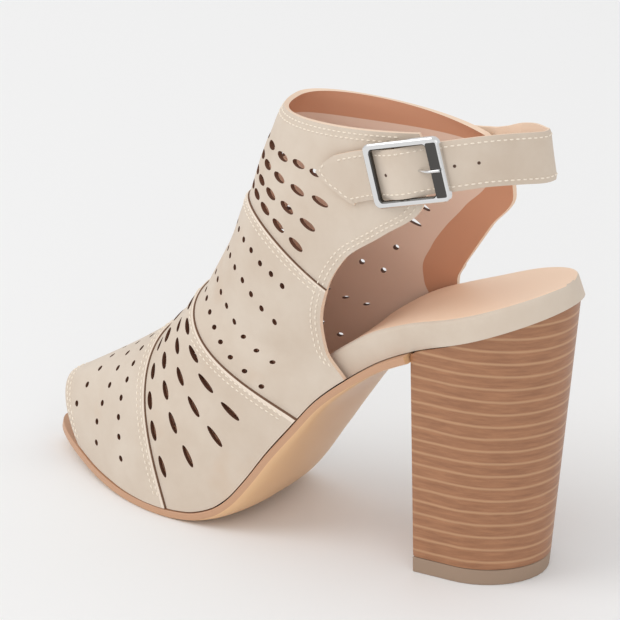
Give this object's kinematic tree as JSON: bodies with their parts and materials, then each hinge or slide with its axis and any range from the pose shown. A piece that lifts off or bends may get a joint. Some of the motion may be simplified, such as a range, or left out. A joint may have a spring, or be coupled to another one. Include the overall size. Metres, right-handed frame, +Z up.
{
  "type": "open-toe sandal",
  "caption": "Open-toe sandal on a tall stacked block heel, with a slotted panelled upper, open back and sides, and a slingback strap with a metal buckle",
  "frame": {"origin": "middle of the heel's straight-sided plan, on the floor", "axes": "X points to the outer (lateral) side, Y to the back, Z up; the toe points to -Y"},
  "size_m": [0.074, 0.2251, 0.1707],
  "materials": {
    "outsole_tan": "smooth satin tan moulded sole with a darker edge line",
    "sock": "smooth light sock, beige nubuck on the platform's edge",
    "stacked_heel": "brown stack of thin layers with lighter lines, satin",
    "top_piece": "matte taupe wearing lift",
    "nubuck": "matte beige nubuck with fine nap, soft scuffs and light stitching",
    "polished_steel": "polished silver metal"
  },
  "bodies": {
    "root": {"outsole": "outsole_tan", "insole": "sock", "heel_block": "stacked_heel", "heel_top_piece": "top_piece", "upper": "nubuck", "ankle_strap": "nubuck", "buckle_tab": "nubuck", "buckle_frame": "polished_steel", "buckle_prong": "polished_steel"}
  },
  "joints": []
}
